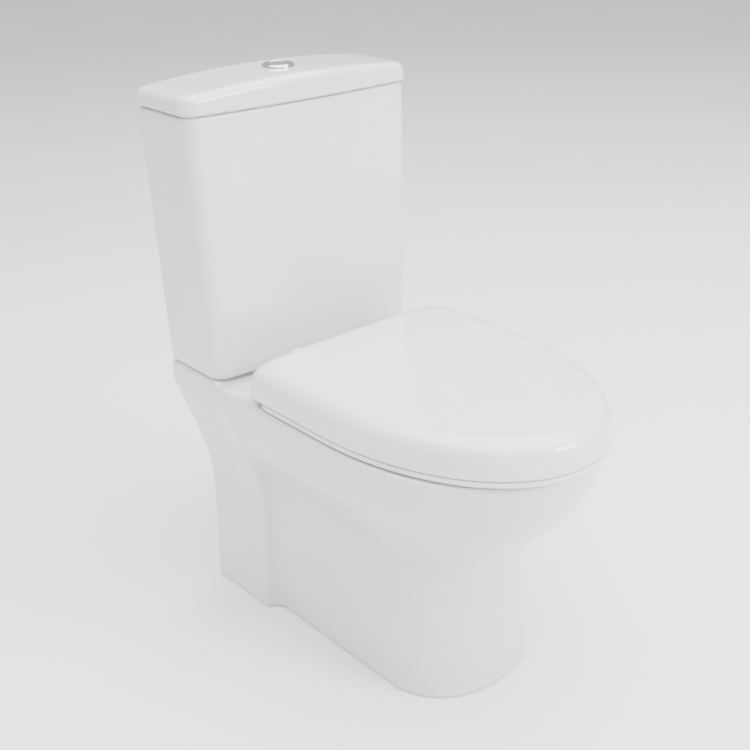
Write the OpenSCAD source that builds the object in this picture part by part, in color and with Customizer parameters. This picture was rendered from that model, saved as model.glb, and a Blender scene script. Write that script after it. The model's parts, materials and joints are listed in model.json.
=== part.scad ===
// Close coupled toilet: pan, cistern, soft-cornered seat and the flushing gear inside.
// Every piece is drawn with the wall plane at y = 0 and the floor at z = 0, the front facing -Y,
// and in_frame() then moves it to the middle of its own footprint.

/* [Overall] */
// Length from the wall to the front of the seat
overall_d = 645; // [640:1:650]
// Clearance between pieces that move past each other
gap = 0.4; // [0.3:0.1:0.5]
// Running clearance between a pin and its bore, on the radius
pin_play = 0.06; // [0.02:0.01:0.1]

/* [Pan] */
// Height of the rim
rim_z = 392; // [390:1:394]
// Height of the platform that the cistern stands on
deck_z = 398; // [396:1:400]
// Width of that platform
deck_w = 357; // [352:1:360]
// Thickness of the china
china_t = 10; // [9:1:12]
// Half width of the rim
rim_half_w = 184; // [180:0.5:188]
// Where the rim's straight sides end and its round front starts
rim_mid_y = -370; // [-376:1:-362]
// Front of the rim
rim_front_y = -631; // [-633:1:-628]
// Depth that the round of the bowl would reach below the rim
bowl_drop = 193; // [188:1:200]
// Half width of the foot
foot_half_w = 116; // [113:1:119]
// Front of the foot
foot_front_y = -503; // [-507:1:-499]
// Half width of the rear skirt at the floor
skirt_half_w = 135.5; // [132:0.5:138]
// Front edge of the rear skirt's wings
skirt_front_y = -134; // [-138:1:-130]
// Height of the outlet's centre line above the floor
outlet_z = 180; // [175:1:190]
// Outer radius of the outlet spigot
outlet_r = 51; // [50:0.5:52]

/* [Cistern] */
// Width of the cistern at its top
cistern_top_w = 374; // [368:1:378]
// Width of the cistern at its foot
cistern_foot_w = 356; // [352:1:360]
// Depth of the cistern at its corners
cistern_d = 120; // [118:1:124]
// How far the middle of its front bows forward
cistern_bow = 10; // [8:1:14]
// Radius of its upright front corners
cistern_corner_r = 20; // [16:1:24]
// Height of its open top edge
cistern_top_z = 768; // [764:1:770]
// Thickness of its walls
cistern_wall = 9; // [8:0.5:10]

/* [Lid] */
// Width of the lid
lid_w = 380; // [378:1:384]
// Height of the lid's lower edge
lid_z = 771; // [770.5:0.5:772]
// Height of the lid's upper edge at its two ends
lid_edge_z = 795; // [793:1:797]
// Height of the lid's crown
lid_crown_z = 806; // [804:1:808]

/* [Seat] */
// Distance of the seat's hinge axis from the wall
hinge_y = -195; // [-197:1:-194]
// Height of the seat's hinge axis
hinge_z = 410; // [409:1:411]
// Distance of each hinge post from the centre line
hinge_x = 77.5; // [70:0.5:80]
// Half width of the seat
seat_half_w = 181; // [178:0.5:184]
// Where the seat's straight sides end and its round front starts
seat_mid_y = -358; // [-366:1:-350]
// Underside of the seat ring
ring_z = 395; // [394.5:0.5:396]
// Top of the seat ring
ring_top_z = 426; // [420:1:428]
// Lower edge of the cover
cover_z = 407.5; // [407:0.5:409]
// Crown of the cover
cover_top_z = 454; // [452:1:456]
// Thickness of the cover's shell
cover_t = 4.5; // [4:0.5:5]

/* [Flush button] */
// Outer radius of the bezel
bezel_r = 23; // [21:0.5:24]
// Radius of the two-part button
button_r = 17.3; // [16:0.1:18]
// Travel of each button
press = 6; // [5:0.5:6]

/* [Hidden] */
$fn = 64;
bowl_rear_y = -128;                          // the bowl's sides run back into the skirt here
foot_mid_y = -390;                           // where the foot's round front starts
step_y = [-109, -122];                       // start and end of the step from platform to rim
bowl_half_l = rim_mid_y - rim_front_y;       // depth of the rim's round front
web_y = -165;                                // front of the open recess behind the foot
recess_half_w = 104;                         // half width of that recess where it runs into the foot
wing_web_y = -122;                           // front of the recess inside the wings
pocket_y = -215;                             // front of the recess's upper pocket
pocket_z = 292;                              // floor of that pocket
trap_r = 38;                                 // inner radius of the trapway
trap_t = 8;                                  // thickness of its china
trap_turn_r = 54;                            // radius of its three bends
trap_rise = 72;                              // steepest angle on the way up
trap_fall = 40;                              // steepest angle on the way down
dip_at = [-332, 78];                         // centre line at the dip, y and z
weir_z = 210;                                // centre line over the weir
spigot_root_y = -141;                        // where the spigot leaves the trapway
cavity = [
    [42, 20, -372, -325], [60, 36, -386, -302], [90, 45, -396, -290], [130, 54, -412, -281],
    [172, 66, -440, -273], [205, 82, -470, -265], [240, 97, -496, -256], [285, 126, -550, -248],
    [330, 141, -576, -243], [366, 147, -584, -240]
];                                           // bowl cavity: height, half width, front, rear
bowl_foot_turn = 62;                         // how far down its round the bowl meets the foot
spigot_end_y = -100;                         // free end of the outlet spigot
cavity_z = 366;                              // underside of the rim's overhang
inlet_y = -63;                               // axis of the flush valve and of the button
well_r = 45.3;                               // socket for the coupling seal
well_z = 370;                                // floor of that socket
coupling_x = 80;                             // coupling bolts, each side of the inlet
fill_x = 130;                                // axis of the fill valve
tail_z = 350;                                // lower end of its threaded tail
tail_r = 10.45;                              // radius over that thread
lug_at = [98, -100];                         // floor fixing hole, x and y
lug_hole_r = 4.5;
deck_t = 12;                                 // thickness of the platform
rim_t = 14;                                  // thickness of the rim's top
wall_hole_at = [120, 722];                   // wall fixing hole, x and z
wall_hole_r = 4;
floor_z = deck_z + china_t;                  // inside floor of the cistern
lid_t = 12;                                  // thickness of the lid's top
lid_arch_r = (pow(lid_w / 2, 2) + pow(lid_crown_z - lid_edge_z, 2)) / (2 * (lid_crown_z - lid_edge_z));
lid_under_z = lid_crown_z - lid_t;           // underside of the lid at its crown
button_top_z = lid_crown_z + 4.8;
rocker_z = 690;                              // axis height of both rockers
rocker_x = 28;                               // their pivots, each side of the valve
rod_x = 11;                                  // push rods, each side of the valve
rocker_in = rocker_x - rod_x;                // input arm of a rocker
rocker_out = 20;                             // its output arm
pad_r = 2.5;                                 // rounded end of an arm
rod_r = 3;
spring_z = [775, 796];                       // seat and top of the button springs
seat_valve_z = 425;                          // height of the flush valve's seat
arm_pivot = [112, 688];                      // float arm pivot, x and z
float_rod_x = 148;                           // screw that links the float to its arm
seat_rear_y = -182;                          // rear edge of the cover
seat_ring_rear_y = -218;                     // rear edge of the ring
seat_front_y = -overall_d;
ring_rib_y = [-300, -400, -500];             // cross ribs inside the ring
ring_buffer_at = [[146, -300], [129, -500]];
cover_buffer_at = [[140, -314], [117, -520]];
cover_boss_z = 436;                          // lower end of the cover's buffer bosses
pin_r = 3;                                   // hinge pin

china = [0.88, 0.885, 0.885];
plastic = [0.92, 0.92, 0.915];
tool_white = [0.8, 0.82, 0.83];

// Moves what is drawn against the wall to the middle of its footprint.
module in_frame() translate([0, overall_d / 2, 0]) children();

// Draws its children on both sides of the centre line.
module both_sides() for (side = [-1, 1]) scale_x(side) children();
module scale_x(side) if (side > 0) children(); else mirror([1, 0, 0]) children();

// A cylinder along X, from x = a to x = b, through y and z.
module rod_x_axis(r, a, b, y, z) translate([a, y, z]) rotate([0, 90, 0]) cylinder(r = r, h = b - a);

// A cylinder along Y, from y = a to y = b, through x and z.
module rod_y_axis(r, a, b, x, z) translate([x, b, z]) rotate([90, 0, 0]) cylinder(r = r, h = b - a);

// An upright ring from z = a to z = b.
module ring(outer, inner, a, b) translate([0, 0, a]) difference() {
    cylinder(r = outer, h = b - a);
    translate([0, 0, -1]) cylinder(r = inner, h = b - a + 2);
}

// A box given by its two opposite corners.
module box(low, high) translate(low) cube(high - low);

// Point t of a cubic curve.
function curve_at(p, t) = pow(1 - t, 3) * p[0] + 3 * t * pow(1 - t, 2) * p[1]
    + 3 * t * t * (1 - t) * p[2] + pow(t, 3) * p[3];
function curve(p, steps) = [for (i = [0 : steps]) curve_at(p, i / steps)];

// Points round a centre on a path whose heading turns from one angle to another; side is 1 when it turns up.
function bend(centre, from, to, side, steps) = [for (i = [0 : steps]) let (a = from + (to - from) * i / steps)
    centre + side * trap_turn_r * [sin(a), -cos(a)]];

// Centre line of the trapway, in y and z: along the dip, up, over the weir and down to the outlet.
function trap_path() = let (
    dip = dip_at + [0, trap_turn_r],
    weir_c = weir_z - trap_turn_r,
    climb = (weir_c - dip[1] + 2 * trap_turn_r * cos(trap_rise)) / sin(trap_rise),
    weir = [dip[0] + 2 * trap_turn_r * sin(trap_rise) + climb * cos(trap_rise), weir_c],
    out_c = outlet_z + trap_turn_r,
    slope = (weir_c - out_c + 2 * trap_turn_r * cos(trap_fall)) / sin(trap_fall),
    out = [weir[0] + 2 * trap_turn_r * sin(trap_fall) + slope * cos(trap_fall), out_c]
) concat(
    [dip_at - [24, 0]],
    bend(dip, 0, trap_rise, 1, 4),
    bend(weir, trap_rise, -trap_fall, -1, 6),
    bend(out, -trap_fall, 0, 1, 2)
);

// Round-cornered D seen from above: straight sides to mid_y, a round front, rear corners of radius c.
function d_outline(half_w, mid_y, front_y, rear_y, c, power = 2.1, turn = 9) = let (
    corner_turn = c > 5 ? 22.5 : 90
) concat(
    [for (a = [90 : -corner_turn : 0]) [half_w - c + c * cos(a), rear_y - c + c * sin(a)]],
    [for (a = [0 : turn : 180]) [
        sign(cos(a)) * half_w * pow(abs(cos(a)), 2 / power),
        mid_y - (mid_y - front_y) * pow(sin(a), 2 / power)
    ]],
    [for (a = [180 : -corner_turn : 90]) [-half_w + c + c * cos(a), rear_y - c + c * sin(a)]]
);

// Oval seen from above, with its length and place given by its front and rear ends.
function oval(half_w, front_y, rear_y, power = 2.15, turn = 12) = [for (a = [0 : turn : 360 - turn]) [
    sign(cos(a)) * half_w * pow(abs(cos(a)), 2 / power),
    (front_y + rear_y) / 2 - sign(sin(a)) * (rear_y - front_y) / 2 * pow(abs(sin(a)), 2 / power)
]];

// Plan of the cistern: square at the wall, bowed front, rounded front corners.
function cistern_outline(width, depth, bow, c) = let (
    half = width / 2,
    bow_r = (half * half + bow * bow) / (2 * bow),
    corner_y = -depth + c,
    front = [for (i = [-6 : 6]) let (x = i / 6 * (half - c)) [-x, -depth - bow + bow_r - sqrt(bow_r * bow_r - x * x)]]
) concat(
    [[half, 0]],
    [for (a = [0 : -22.5 : -67.5]) [half - c + c * cos(a), corner_y - bow * 0.2 + c * sin(a)]],
    front,
    [for (a = [-112.5 : -22.5 : -180]) [-half + c + c * cos(a), corner_y - bow * 0.2 + c * sin(a)]],
    [[-half, 0]]
);

// Solid through rings of equal length; each ring is [height, outline].
module loft(rings) {
    n = len(rings[0][1]);
    last = len(rings) - 1;
    points = [for (r = rings) for (p = r[1]) [p[0], p[1], r[0]]];
    faces = concat(
        [[for (i = [n - 1 : -1 : 0]) i]],
        [for (k = [0 : last - 1]) for (i = [0 : n - 1]) let (j = (i + 1) % n)
            [k * n + i, k * n + j, (k + 1) * n + j]],
        [for (k = [0 : last - 1]) for (i = [0 : n - 1]) let (j = (i + 1) % n)
            [k * n + i, (k + 1) * n + j, (k + 1) * n + i]],
        [[for (i = [0 : n - 1]) last * n + i]]
    );
    polyhedron(points = points, faces = faces, convexity = 4);
}

// Faces of a tube through count rings of sides points each, closed at both ends.
function tube_faces(count, sides) = concat(
    [[for (k = [sides - 1 : -1 : 0]) k]],
    [for (i = [0 : count - 2]) for (k = [0 : sides - 1]) let (m = (k + 1) % sides, s = i * sides)
        [s + k, s + m, s + sides + m]],
    [for (i = [0 : count - 2]) for (k = [0 : sides - 1]) let (m = (k + 1) % sides, s = i * sides)
        [s + k, s + sides + m, s + sides + k]],
    [[for (k = [0 : sides - 1]) (count - 1) * sides + k]]
);

// Extrudes a side profile, given as [y, z] points, across the centre line.
module across(width) rotate([90, 0, 90]) translate([0, 0, -width / 2]) linear_extrude(width) children();

// ---- Pan ----

// Outer shape of the bowl, inset by t: its section shrinks like a ball's as it goes down from the rim.
module bowl_solid(t, rear_y, top_z) {
    drop = bowl_drop - t;
    top = asin((rim_z - top_z) / drop);
    steps = 7;
    loft([for (i = [0 : steps]) let (a = bowl_foot_turn + (top - bowl_foot_turn) * i / steps) [
        rim_z - drop * sin(a),
        d_outline((rim_half_w - t) * cos(a), rim_mid_y, rim_mid_y - (bowl_half_l - t) * cos(a), rear_y, 2)
    ]]);
}

module foot_solid(t, rear_y, low_z, high_z) translate([0, 0, low_z]) linear_extrude(high_z - low_z)
    polygon(d_outline(foot_half_w - t, foot_mid_y, foot_front_y + t, rear_y, 2, 2.28));

// Front view of the rear skirt, inset by t: a narrow foot that widens into the platform.
function skirt_side(t) = [for (p = concat(
    [[skirt_half_w, -1], [skirt_half_w - 4, 100], [skirt_half_w - 6, 178]],
    curve([[skirt_half_w - 6, 180], [skirt_half_w - 6.5, 232], [158, 300], [deck_w / 2 - 0.5, 362]], 8),
    [[deck_w / 2, 380], [deck_w / 2, deck_z]]
)) p - [t, 0]];

// Solid with that front view, from the wall to front_y.
module skirt_bar(t, front_y, low_z, high_z) intersection() {
    side = skirt_side(t);
    rotate([90, 0, 0]) linear_extrude(-front_y)
        polygon(concat(side, [for (i = [len(side) - 1 : -1 : 0]) [-side[i][0], side[i][1]]]));
    box([-deck_w, front_y - 1, low_z], [deck_w, 1, high_z]);
}

// Side view of the rear skirt: the step from platform to rim, and the wing's front edge.
module skirt_profile() polygon(concat(
    [[1, 0], [1, deck_z], [step_y[0], deck_z]],
    curve([[step_y[0] - 1, deck_z], [-115, deck_z], [-116, rim_z], [step_y[1], rim_z]], 6),
    curve([[-165, rim_z], [-143, 335], [skirt_front_y - 1, 290], [skirt_front_y, 232]], 8),
    [[skirt_front_y, 0]]
));

// Bowl cavity below the rim, grown by t.
module cavity_solid(t) {
    top = cavity[len(cavity) - 1][0];
    loft([for (r = cavity) [
        r[0] - (r[0] == cavity[0][0] ? t : 0) + (r[0] == top && t > 0 ? rim_z - 4 - top : 0),
        oval(r[1] + t, r[2] - t, r[3] + t)
    ]]);
}

// Round passage along the trap's path, with its rings square to the path.
module trapway(r) {
    sides = 16;
    path = trap_path();
    n = len(path);
    rings = [for (i = [0 : n - 1]) let (
        ahead = path[min(i + 1, n - 1)] - path[max(i - 1, 0)],
        tilt = atan2(ahead[1], ahead[0])
    ) [for (k = [0 : sides - 1]) let (b = 360 * k / sides) [
        r * cos(b),
        path[i][0] - r * sin(b) * sin(tilt),
        path[i][1] + r * sin(b) * cos(tilt)
    ]]];
    polyhedron(points = [for (q = rings) for (p = q) p], faces = tube_faces(n, sides), convexity = 6);
}

module pan() color(china) in_frame() difference() {
    union() {
        difference() {
            union() {
                bowl_solid(0, bowl_rear_y, rim_z);
                foot_solid(0, -120, 0, 262);
                intersection() {
                    skirt_bar(0, -170, 0, deck_z);
                    across(deck_w + 2) skirt_profile();
                }
            }
            difference() {
                union() {
                    bowl_solid(china_t, pocket_y - china_t, rim_z - rim_t);
                    foot_solid(china_t, web_y - china_t, -1, 262);
                }
                box([-300, pocket_y - china_t, pocket_z - china_t], [300, 0, 400]);
            }
            translate([0, 1, 0]) skirt_bar(china_t, wing_web_y - 1, -1, deck_z - deck_t);
            box([-recess_half_w, web_y, -1], [recess_half_w, 0, rim_z - deck_t]);
            box([-125, pocket_y, pocket_z], [125, wing_web_y + 5, rim_z - deck_t]);
            box([-145, pocket_y, pocket_z + 33], [145, wing_web_y + 5, rim_z - deck_t]);
        }
        cavity_solid(10);
        trapway(trap_r + trap_t);
        rod_y_axis(outlet_r, spigot_root_y, spigot_end_y, 0, outlet_z);
        box([-38, pocket_y - 20, 322], [38, -101, well_z]);
        translate([0, inlet_y, well_z - 8]) cylinder(r = well_r + 10, h = 20);
        box([-38, -101, 322], [38, inlet_y, well_z - 6]);
        both_sides() box([lug_at[0] - 22, lug_at[1] - 25, 0], [skirt_half_w - 6, lug_at[1] + 22, 24]);
    }
    cavity_solid(0);
    translate([0, 0, cavity_z - 1]) linear_extrude(60) polygon(d_outline(120, -425, -576, -258, 95, 2.1));
    trapway(trap_r);
    rod_y_axis(trap_r + 4, spigot_root_y + 1, spigot_end_y + 1, 0, outlet_z);
    box([-30, -262, 332], [30, inlet_y - 22, 354]);
    translate([0, inlet_y, 340]) cylinder(r = 28, h = 60);
    box([-22, inlet_y - 24, 334], [22, inlet_y, 352]);
    translate([0, inlet_y, well_z]) cylinder(r = well_r, h = 60);
    both_sides() {
        translate([coupling_x, inlet_y, 350]) cylinder(r = 5.5, h = 60);
        translate([fill_x, inlet_y, 350]) cylinder(r = 20, h = 60);
        translate([hinge_x, hinge_y, 350]) cylinder(r = 6, h = 60);
        translate([lug_at[0], lug_at[1], -1]) cylinder(r = lug_hole_r, h = 40);
    }
}

// ---- Cistern and its coupling to the pan ----

module cistern() color(china) in_frame() difference() {
    loft([
        [deck_z, cistern_outline(cistern_foot_w, cistern_d, cistern_bow, cistern_corner_r)],
        [cistern_top_z, cistern_outline(cistern_top_w, cistern_d, cistern_bow, cistern_corner_r)]
    ]);
    translate([0, -cistern_wall, 0]) loft([
        [floor_z, cistern_outline(cistern_foot_w - 2 * cistern_wall - 2, cistern_d - 2 * cistern_wall,
            cistern_bow - 1, cistern_corner_r - cistern_wall)],
        [cistern_top_z + 1, cistern_outline(cistern_top_w - 2 * cistern_wall, cistern_d - 2 * cistern_wall,
            cistern_bow - 1, cistern_corner_r - cistern_wall)]
    ]);
    translate([0, inlet_y, deck_z - 1]) cylinder(r = 33, h = 20);
    both_sides() translate([coupling_x, inlet_y, deck_z - 1]) cylinder(r = 5.5, h = 20);
    translate([fill_x, inlet_y, deck_z - 1]) cylinder(r = 11.5, h = 20);
    both_sides() rod_y_axis(wall_hole_r, -20, 1, wall_hole_at[0], wall_hole_at[1]);
}

module coupling_seal() color([0.12, 0.12, 0.13]) in_frame() translate([0, inlet_y, 0]) difference() {
    ring(well_r - 1.3, 30.1, well_z, deck_z);
    ring(38.2, 10, 385.8, deck_z + 1);
}

module coupling_bolts() color("silver") in_frame() both_sides() translate([coupling_x, inlet_y, 0]) {
    translate([0, 0, 348]) cylinder(r = 4, h = floor_z + 4 - 348);
    translate([0, 0, floor_z + 4]) cylinder(r = 9, h = 4);
}

module coupling_rubber_washers() color([0.12, 0.12, 0.13]) in_frame() both_sides()
    translate([coupling_x, inlet_y, 0]) ring(11, 4, floor_z, floor_z + 4);

module coupling_plate_washers() color("silver") in_frame() both_sides()
    translate([coupling_x, inlet_y, 0]) ring(11, 4.3, deck_z - deck_t - 2, deck_z - deck_t);

// A wing nut under z = top, on a screw of radius r.
module wing_nut(top, r, reach) {
    difference() {
        union() {
            translate([0, 0, top - 9]) cylinder(r = r + 3, h = 9);
            box([-reach, -1.5, top - 16], [reach, 1.5, top - 3]);
        }
        translate([0, 0, top - 20]) cylinder(r = r, h = 30);
    }
}

module coupling_wing_nuts() color("silver") in_frame() both_sides()
    translate([coupling_x, inlet_y, 0]) wing_nut(deck_z - deck_t - 2, 4, 14);

// ---- Flush valve ----

module flush_valve_base() color(tool_white) in_frame() translate([0, inlet_y, 0]) {
    ring(42, 26, floor_z + 3, floor_z + 9);
    ring(30, 26, well_z + 2, floor_z + 3);
    ring(30, 26, floor_z + 9, seat_valve_z);
}

module flush_valve_gasket() color([0.12, 0.12, 0.13]) in_frame() translate([0, inlet_y, 0])
    ring(42, 30.1, floor_z, floor_z + 3);

module flush_valve_backnut() color(tool_white) in_frame() translate([0, inlet_y, 0]) difference() {
    translate([0, 0, 386]) cylinder(r = 38, h = deck_z - 386, $fn = 8);
    translate([0, 0, 380]) cylinder(r = 30.05, h = 30);
}

module flush_valve_cage() color([0.55, 0.62, 0.7]) in_frame() translate([0, inlet_y, 0]) difference() {
    union() {
        for (side = [-1, 1]) scale_y(side) {
            box([-9, 36, floor_z + 9], [9, 40, rocker_z + 8]);
            box([-rocker_x - 6, 7, rocker_z - 7], [rocker_x + 6, 10, rocker_z + 7]);
            box([-8, 9, rocker_z + 1], [8, 37, rocker_z + 7]);
            box([-5, 17, 641], [5, 37, 645]);
            box([-9, 33.5, 520], [9, 37, 526]);
        }
        ring(20, 14.4, 640, 646);
        ring(38, 33.5, 520, 526);
        box([-54, -4, 640], [-19, 4, 646]);
    }
    for (side = [-1, 1]) rod_y_axis(1.5, -20, 20, side * rocker_x, rocker_z);
    translate([-47, 0, 630]) cylinder(r = 3.4, h = 30);
}
module scale_y(side) if (side > 0) children(); else mirror([0, 1, 0]) children();

module rocker_pins() color("silver") in_frame() translate([0, inlet_y, 0])
    for (side = [-1, 1]) rod_y_axis(1.5, -11, 11, side * rocker_x, rocker_z);

// Rocker seen from the front: pivot at rocker_x, input arm inwards, output arm outwards.
module rocker() difference() {
    union() {
        rod_y_axis(4.5, -5, 5, rocker_x, rocker_z);
        for (end = [rod_x, rocker_x + rocker_out]) rod_y_axis(pad_r, -5, 5, end, rocker_z);
        box([rod_x, -5, rocker_z - 2], [rocker_x - 3, 5, rocker_z + 2]);
        box([rocker_x + 3, -5, rocker_z - 2], [rocker_x + rocker_out, 5, rocker_z + 2]);
    }
    rod_y_axis(1.5 + pin_play, -20, 20, rocker_x, rocker_z);
}

module full_flush_rocker() color("lightgrey") in_frame() translate([0, inlet_y, 0]) rocker();
module half_flush_rocker() color("lightgrey") in_frame() translate([0, inlet_y, 0]) scale_x(-1) rocker();

// Stirrup that a rocker's output arm lifts, joined to what it carries at height low.
module stirrup(low) {
    box([53, -4, low], [57, 4, rocker_z + 8]);
    box([43, -4, rocker_z + pad_r + gap], [57, 4, rocker_z + 8]);
}

module overflow_tube() color(tool_white) in_frame() translate([0, inlet_y, 0]) {
    ring(14, 12, 422, 670);
    ring(30, 14, 428.5, 431.5);
}

module valve_seal() color([0.12, 0.12, 0.13]) in_frame() translate([0, inlet_y, 0])
    ring(32, 14, seat_valve_z + 0.4, 428.5);

module seal_clip() color(tool_white) in_frame() translate([0, inlet_y, 0]) ring(20, 14, 422.4, seat_valve_z + 0.4);

module flush_float() color([0.3, 0.45, 0.7]) in_frame() translate([0, inlet_y, 0]) difference() {
    ring(28, 14, 440, 486);
    ring(26, 16, 439, 483);
}

module lift_yoke() color("lightgrey") in_frame() translate([0, inlet_y, 0]) {
    ring(17, 14, 660, 669);
    box([15.5, -4, 662], [57, 4, 668]);
    stirrup(662);
}

module half_flush_float() color([0.3, 0.45, 0.7]) in_frame() translate([0, inlet_y, 0]) scale_x(-1) {
    difference() {
        box([34, -13, 560], [60, 13, 600]);
        box([36, -11, 559], [58, 11, 597]);
    }
    translate([47, 0, 598]) cylinder(r = 3, h = 66);
    box([43, -4, 662], [57, 4, 668]);
    stirrup(662);
}

// ---- Fill valve ----

module fill_valve_shank() color(tool_white) in_frame() translate([fill_x, inlet_y, 0]) difference() {
    union() {
        translate([0, 0, tail_z]) cylinder(r = tail_r, h = 32);
        translate([0, 0, tail_z + 31]) cylinder(r = tail_r - 0.9, h = 4);
        translate([0, 0, tail_z + 34]) cylinder(r = tail_r, h = floor_z + 3 - tail_z - 34);
        translate([0, 0, floor_z + 3]) cylinder(r = 17, h = 4);
        translate([0, 0, floor_z + 7]) cylinder(r = 9, h = 660 - floor_z - 7);
        translate([0, 0, 552]) cylinder(r = 12, h = 4);
    }
    translate([0, 0, tail_z - 1]) cylinder(r = 6, h = 330);
}

module fill_valve_gasket() color([0.12, 0.12, 0.13]) in_frame() translate([fill_x, inlet_y, 0])
    ring(17, 10.5, floor_z, floor_z + 3);

module fill_valve_backnut() color(tool_white) in_frame() translate([fill_x, inlet_y, 0]) difference() {
    translate([0, 0, deck_z - 9]) cylinder(r = 17, h = 9, $fn = 6);
    translate([0, 0, deck_z - 20]) cylinder(r = 10.5, h = 30);
}

module fill_valve_head() color([0.75, 0.3, 0.25]) in_frame() translate([0, inlet_y, 0]) difference() {
    union() {
        translate([fill_x, 0, 660]) cylinder(r = 13, h = 22);
        box([arm_pivot[0] - 5, 4, 670], [fill_x, 7, arm_pivot[1] + 5]);
        box([arm_pivot[0] - 5, -7, 670], [fill_x, -4, arm_pivot[1] + 5]);
    }
    rod_y_axis(1.5, -20, 20, arm_pivot[0], arm_pivot[1]);
}

module float_arm_pin() color("silver") in_frame() translate([0, inlet_y, 0])
    rod_y_axis(1.5, -8, 8, arm_pivot[0], arm_pivot[1]);

module fill_float() color([0.3, 0.45, 0.7]) in_frame() translate([fill_x, inlet_y, 0]) difference() {
    ring(24, 9.5, 560, 606);
    ring(22, 11.5, 559, 603);
}

module fill_float_rod() color("lightgrey") in_frame() translate([float_rod_x, inlet_y, 606])
    cylinder(r = 2.5, h = arm_pivot[1] - pad_r - gap - 606);

module float_arm() color("lightgrey") in_frame() translate([0, inlet_y, 0]) difference() {
    union() {
        rod_y_axis(4, -3.6, 3.6, arm_pivot[0], arm_pivot[1]);
        rod_y_axis(pad_r, -3.6, 3.6, float_rod_x, arm_pivot[1]);
        box([arm_pivot[0] + 3, -3.6, arm_pivot[1] - 1.5], [float_rod_x, 3.6, arm_pivot[1] + 1.5]);
    }
    rod_y_axis(1.5 + pin_play, -20, 20, arm_pivot[0], arm_pivot[1]);
}

// ---- Cistern lid with its buttons ----

module lid_plan(inset) translate([0, -inset, 0])
    polygon(cistern_outline(lid_w - 2 * inset, cistern_d + 2 - 2 * inset, cistern_bow, 21 - inset * 0.8));

// What lies under the lid's arched top, lowered by drop.
module under_arch(drop) rod_y_axis(lid_arch_r - drop, -300, 100, 0, lid_crown_z - lid_arch_r, $fn = 256);

module cistern_lid() color(china) in_frame() difference() {
    union() {
        intersection() {
            translate([0, 0, lid_z]) linear_extrude(60) lid_plan(0);
            under_arch(0);
        }
        translate([0, 0, cistern_top_z + gap]) linear_extrude(8) lid_plan(4.5);
        translate([0, 0, cistern_top_z - 9]) linear_extrude(20) lid_plan(12.6);
    }
    intersection() {
        translate([0, 0, cistern_top_z - 10]) linear_extrude(60) lid_plan(17);
        under_arch(lid_t);
    }
    translate([0, inlet_y, 700]) cylinder(r = 20.5, h = 200);
}

module button_housing() color("silver") in_frame() translate([0, inlet_y, 0]) {
    ring(19.6, button_r + 0.3, 772, lid_crown_z + 3);
    translate([0, 0, lid_crown_z]) difference() {
        union() {
            cylinder(r = bezel_r, h = 1.5);
            translate([0, 0, 1.5]) cylinder(r1 = bezel_r, r2 = button_r + 1.4, h = 2.8);
        }
        translate([0, 0, -1]) cylinder(r = button_r + 0.3, h = 10);
    }
    difference() {
        translate([0, 0, 772]) cylinder(r = 18.5, h = 3);
        for (side = [-1, 1]) translate([side * rod_x, 0, 770]) cylinder(r = rod_r + 0.3, h = 10);
    }
}

module button_gasket() color([0.12, 0.12, 0.13]) in_frame() translate([0, inlet_y, 0])
    ring(27, 19.7, lid_under_z - 2, lid_under_z - 0.25);

module button_nut() color(tool_white) in_frame() translate([0, inlet_y, 0]) difference() {
    translate([0, 0, lid_under_z - 10]) cylinder(r = 28, h = 8, $fn = 8);
    translate([0, 0, lid_under_z - 20]) cylinder(r = 19.65, h = 30);
}

// Round wire coil standing between two heights.
module coil(r, wire, low, high, turns) {
    sides = 6;
    steps = 14;
    n = turns * steps;
    rise = high - low - 2 * wire;
    points = [for (i = [0 : n]) let (a = 360 * i / steps, z = low + wire + rise * i / n)
        for (k = [0 : sides - 1]) let (b = 360 * k / sides)
            [(r + wire * cos(b)) * cos(a), (r + wire * cos(b)) * sin(a), z + wire * sin(b)]];
    polyhedron(points = points, faces = tube_faces(n + 1, sides), convexity = 8);
}

module button_spring(side) color("silver") in_frame() translate([side * rod_x, inlet_y, 0])
    coil(4.4, 0.5, spring_z[0], spring_z[1], 6);
module full_button_spring() button_spring(1);
module half_button_spring() button_spring(-1);

// One part of the round button: what lies more than 0.3 mm to one side of the split line.
module button_part() difference() {
    intersection() {
        union() {
            translate([0, 0, spring_z[1] + 7]) cylinder(r = button_r, h = 20);
            translate([rod_x, 0, spring_z[1]]) cylinder(r = 5.2, h = 8);
        }
        translate([0, 0, button_top_z - 160]) sphere(r = 160, $fn = 96);
        box([0.3, -50, 0], [50, 50, 900]);
    }
    translate([rod_x, 0, 700]) cylinder(r = rod_r, h = spring_z[1] + 7 - 700);
}

module full_flush_button() color("silver") in_frame() translate([0, inlet_y, 0]) button_part();
module half_flush_button() color("silver") in_frame() translate([0, inlet_y, 0]) scale_x(-1) button_part();

module flush_rod(side) color(tool_white) in_frame() translate([side * rod_x, inlet_y, rocker_z + pad_r + gap])
    cylinder(r = rod_r, h = spring_z[1] + 7 - rocker_z - pad_r - gap);
module full_flush_rod() flush_rod(1);
module half_flush_rod() flush_rod(-1);

// ---- Seat ----

module hinge_plates() color(plastic) in_frame() both_sides() translate([hinge_x, hinge_y, 0])
    ring(20, 4.1, rim_z, rim_z + 3);

module hinge_posts() color(plastic) in_frame() both_sides() difference() {
    union() {
        box([hinge_x - 7.5, hinge_y - 6, rim_z + 3], [hinge_x + 7.5, hinge_y + 6, hinge_z]);
        rod_x_axis(6, hinge_x - 7.5, hinge_x + 7.5, hinge_y, hinge_z);
    }
    rod_x_axis(pin_r, 0, 200, hinge_y, hinge_z);
    translate([hinge_x, hinge_y, rim_z]) cylinder(r = 4, h = 10);
}

module hinge_bolts() color(plastic) in_frame() both_sides()
    translate([hinge_x, hinge_y, 340]) cylinder(r = 4, h = rim_z + 10 - 340);

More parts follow.
